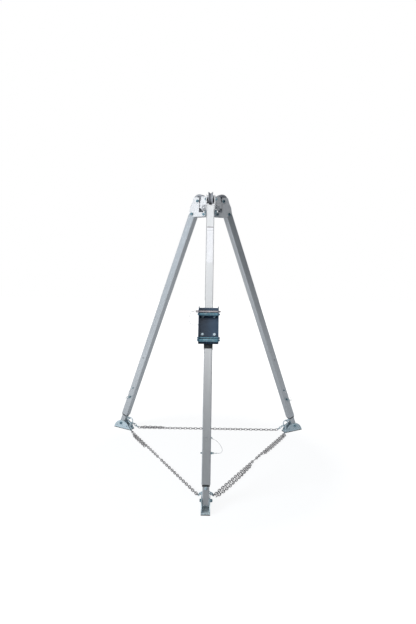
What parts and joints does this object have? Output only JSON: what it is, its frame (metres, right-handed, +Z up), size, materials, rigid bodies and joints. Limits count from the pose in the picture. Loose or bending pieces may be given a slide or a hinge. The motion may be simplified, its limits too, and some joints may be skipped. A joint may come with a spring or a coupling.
{
  "type": "rescue tripod",
  "caption": "Folding rescue tripod with telescoping square legs, head sheaves, pinned leg locks, swivel feet, a floor chain and a winch bracket.",
  "frame": {"origin": "on the floor, in the middle of the box round the standing tripod, front leg at -Y", "axes": "+Z up through the head; the front leg stands towards -Y, the left leg towards -X and the right leg towards +X"},
  "size_m": [1.7458, 1.512, 2.066],
  "materials": {
    "aluminium_tube": "satin extruded aluminium",
    "cast_aluminium": "blasted cast aluminium",
    "zinc_steel": "bright zinc plated steel",
    "chain_steel": "zinc plated chain, dulled",
    "bracket_steel": "dark blue-black coated steel",
    "crossbar_steel": "blue-green passivated steel",
    "sheave_nylon": "dark moulded nylon",
    "nylon": "dark moulded nylon",
    "washer_nylon": "natural nylon",
    "rubber": "black rubber",
    "cord": "thin coated wire"
  },
  "bodies": {
    "head": {"head_hub": "cast_aluminium", "head_arms": "cast_aluminium", "anchor_eyes": "cast_aluminium", "hinge_bolts": "zinc_steel", "hinge_washers": "washer_nylon"},
    "leg_front": {"upper_tube_front": "aluminium_tube", "leg_bracket_front": "cast_aluminium", "leg_fasteners_front": "zinc_steel", "tube_bush_front": "nylon", "lanyard_front": "cord", "winch_bracket": "bracket_steel", "winch_crossbars": "crossbar_steel", "winch_clamp": "bracket_steel", "winch_liner": "rubber", "lanyard_winch": "cord"},
    "wheel_front": {"sheave_front": "sheave_nylon"},
    "pin_front": {"detent_pin_front": "zinc_steel"},
    "lower_leg_front": {"lower_tube_front": "aluminium_tube", "tube_glide_front": "nylon", "foot_bolt_front": "zinc_steel", "eye_bolt_front": "zinc_steel"},
    "foot_front": {"foot_shoe_front": "zinc_steel", "foot_pad_front": "rubber"},
    "ring_front": {"chain_ring_front": "zinc_steel"},
    "leg_left": {"upper_tube_left": "aluminium_tube", "leg_bracket_left": "cast_aluminium", "leg_fasteners_left": "zinc_steel", "tube_bush_left": "nylon", "lanyard_left": "cord"},
    "wheel_left": {"sheave_left": "sheave_nylon"},
    "pin_left": {"detent_pin_left": "zinc_steel"},
    "lower_leg_left": {"lower_tube_left": "aluminium_tube", "tube_glide_left": "nylon", "foot_bolt_left": "zinc_steel", "eye_bolt_left": "zinc_steel"},
    "foot_left": {"foot_shoe_left": "zinc_steel", "foot_pad_left": "rubber"},
    "ring_left": {"chain_ring_left": "zinc_steel"},
    "leg_right": {"upper_tube_right": "aluminium_tube", "leg_bracket_right": "cast_aluminium", "leg_fasteners_right": "zinc_steel", "tube_bush_right": "nylon", "lanyard_right": "cord"},
    "wheel_right": {"sheave_right": "sheave_nylon"},
    "pin_right": {"detent_pin_right": "zinc_steel"},
    "lower_leg_right": {"lower_tube_right": "aluminium_tube", "tube_glide_right": "nylon", "foot_bolt_right": "zinc_steel", "eye_bolt_right": "zinc_steel"},
    "foot_right": {"foot_shoe_right": "zinc_steel", "foot_pad_right": "rubber"},
    "ring_right": {"chain_ring_right": "zinc_steel"},
    "bracket_pin": {"winch_pin": "zinc_steel"},
    "half_chain_front_to_left": {"chain_front_to_left": "chain_steel"},
    "half_chain_front_to_right": {"chain_front_to_right": "chain_steel"},
    "half_chain_left_to_front": {"chain_left_to_front": "chain_steel"},
    "half_chain_left_to_right": {"chain_left_to_right": "chain_steel"},
    "half_chain_right_to_front": {"chain_right_to_front": "chain_steel"},
    "half_chain_right_to_left": {"chain_right_to_left": "chain_steel"}
  },
  "joints": [
    {"name": "leg_fold_front", "type": "hinge", "parent": "head", "child": "leg_front", "pos_m": [0, 0.19324, 1.90801], "axis": [1, 0, 0], "range_deg": [0, 20]},
    {"name": "sheave_spin_front", "type": "hinge", "parent": "leg_front", "child": "wheel_front", "pos_m": [0, 0.13824, 2.01201], "axis": [1, 0, 0], "continuous": true},
    {"name": "leg_slide_front", "type": "slide", "parent": "leg_front", "child": "lower_leg_front", "axis": [0, -0.3746, -0.9272], "range_m": [0, 0.6096]},
    {"name": "pin_pull_front", "type": "slide", "parent": "leg_front", "child": "pin_front", "axis": [1, 0, 0], "range_m": [0, 0.09], "deforming": ["lanyard_front"]},
    {"name": "foot_tilt_front", "type": "hinge", "parent": "lower_leg_front", "child": "foot_front", "pos_m": [0, -0.67204, 0.052], "axis": [-1, 0, 0], "range_deg": [-10, 25]},
    {"name": "ring_swing_front", "type": "hinge", "parent": "lower_leg_front", "child": "ring_front", "pos_m": [0, -0.59305, 0.09882], "axis": [-1, 0, 0], "range_deg": [-12, 0]},
    {"name": "chain_drop_front_to_left", "type": "hinge", "parent": "ring_front", "child": "half_chain_front_to_left", "pos_m": [-0.0495, -0.53594, 0.01511], "axis": [-0.8531, -0.4906, 0.1774], "range_deg": [0, 104.64], "deforming": ["chain_front_to_left"]},
    {"name": "chain_drop_front_to_right", "type": "hinge", "parent": "ring_front", "child": "half_chain_front_to_right", "pos_m": [0.0495, -0.53594, 0.01511], "axis": [-0.8531, 0.4906, -0.1774], "range_deg": [0, 104.64], "deforming": ["chain_front_to_right"]},
    {"name": "leg_fold_left", "type": "hinge", "parent": "head", "child": "leg_left", "pos_m": [-0.03637, 0.25624, 1.90801], "axis": [-0.5, -0.866, 0], "range_deg": [0, 20]},
    {"name": "sheave_spin_left", "type": "hinge", "parent": "leg_left", "child": "wheel_left", "pos_m": [-0.084, 0.28374, 2.01201], "axis": [-0.5, -0.866, 0], "continuous": true},
    {"name": "leg_slide_left", "type": "slide", "parent": "leg_left", "child": "lower_leg_left", "axis": [-0.3244, 0.1873, -0.9272], "range_m": [0, 0.6096]},
    {"name": "pin_pull_left", "type": "slide", "parent": "leg_left", "child": "pin_left", "axis": [-0.5, -0.866, 0], "range_m": [0, 0.09], "deforming": ["lanyard_left"]},
    {"name": "foot_tilt_left", "type": "hinge", "parent": "lower_leg_left", "child": "foot_left", "pos_m": [-0.78573, 0.68888, 0.052], "axis": [0.5, 0.866, 0], "range_deg": [-10, 25]},
    {"name": "ring_swing_left", "type": "hinge", "parent": "lower_leg_left", "child": "ring_left", "pos_m": [-0.71732, 0.64939, 0.09882], "axis": [0.5, 0.866, 0], "range_deg": [-12, 0]},
    {"name": "chain_drop_left_to_front", "type": "hinge", "parent": "ring_left", "child": "half_chain_left_to_front", "pos_m": [-0.69261, 0.57796, 0.01511], "axis": [0.8514, 0.4935, -0.1774], "range_deg": [0, 104.64], "deforming": ["chain_left_to_front"]},
    {"name": "chain_drop_left_to_right", "type": "hinge", "parent": "ring_left", "child": "half_chain_left_to_right", "pos_m": [-0.64311, 0.6637, 0.01511], "axis": [0.0017, 0.9841, 0.1774], "range_deg": [0, 104.64], "deforming": ["chain_left_to_right"]},
    {"name": "leg_fold_right", "type": "hinge", "parent": "head", "child": "leg_right", "pos_m": [0.03637, 0.25624, 1.90801], "axis": [-0.5, 0.866, 0], "range_deg": [0, 20]},
    {"name": "sheave_spin_right", "type": "hinge", "parent": "leg_right", "child": "wheel_right", "pos_m": [0.084, 0.28374, 2.01201], "axis": [-0.5, 0.866, 0], "continuous": true},
    {"name": "leg_slide_right", "type": "slide", "parent": "leg_right", "child": "lower_leg_right", "axis": [0.3244, 0.1873, -0.9272], "range_m": [0, 0.6096]},
    {"name": "pin_pull_right", "type": "slide", "parent": "leg_right", "child": "pin_right", "axis": [0.5, -0.866, 0], "range_m": [0, 0.09], "deforming": ["lanyard_right"]},
    {"name": "foot_tilt_right", "type": "hinge", "parent": "lower_leg_right", "child": "foot_right", "pos_m": [0.78573, 0.68888, 0.052], "axis": [0.5, -0.866, 0], "range_deg": [-10, 25]},
    {"name": "ring_swing_right", "type": "hinge", "parent": "lower_leg_right", "child": "ring_right", "pos_m": [0.71732, 0.64939, 0.09882], "axis": [0.5, -0.866, 0], "range_deg": [-12, 0]},
    {"name": "chain_drop_right_to_front", "type": "hinge", "parent": "ring_right", "child": "half_chain_right_to_front", "pos_m": [0.69261, 0.57796, 0.01511], "axis": [0.8514, -0.4935, 0.1774], "range_deg": [0, 104.64], "deforming": ["chain_right_to_front"]},
    {"name": "chain_drop_right_to_left", "type": "hinge", "parent": "ring_right", "child": "half_chain_right_to_left", "pos_m": [0.64311, 0.6637, 0.01511], "axis": [0.0017, -0.9841, -0.1774], "range_deg": [0, 104.64], "deforming": ["chain_right_to_left"]},
    {"name": "winch_pin_pull", "type": "slide", "parent": "leg_front", "child": "bracket_pin", "axis": [-1, 0, 0], "range_m": [0, 0.16], "deforming": ["lanyard_winch"]}
  ],
  "couplings": [
    {"joint": "chain_drop_front_to_left", "follows": "leg_fold_front", "ratio": 5.2069},
    {"joint": "chain_drop_front_to_right", "follows": "leg_fold_front", "ratio": 5.2069},
    {"joint": "chain_drop_left_to_front", "follows": "leg_fold_left", "ratio": 5.2069},
    {"joint": "chain_drop_left_to_right", "follows": "leg_fold_left", "ratio": 5.2069},
    {"joint": "chain_drop_right_to_front", "follows": "leg_fold_right", "ratio": 5.2069},
    {"joint": "chain_drop_right_to_left", "follows": "leg_fold_right", "ratio": 5.2069}
  ]
}
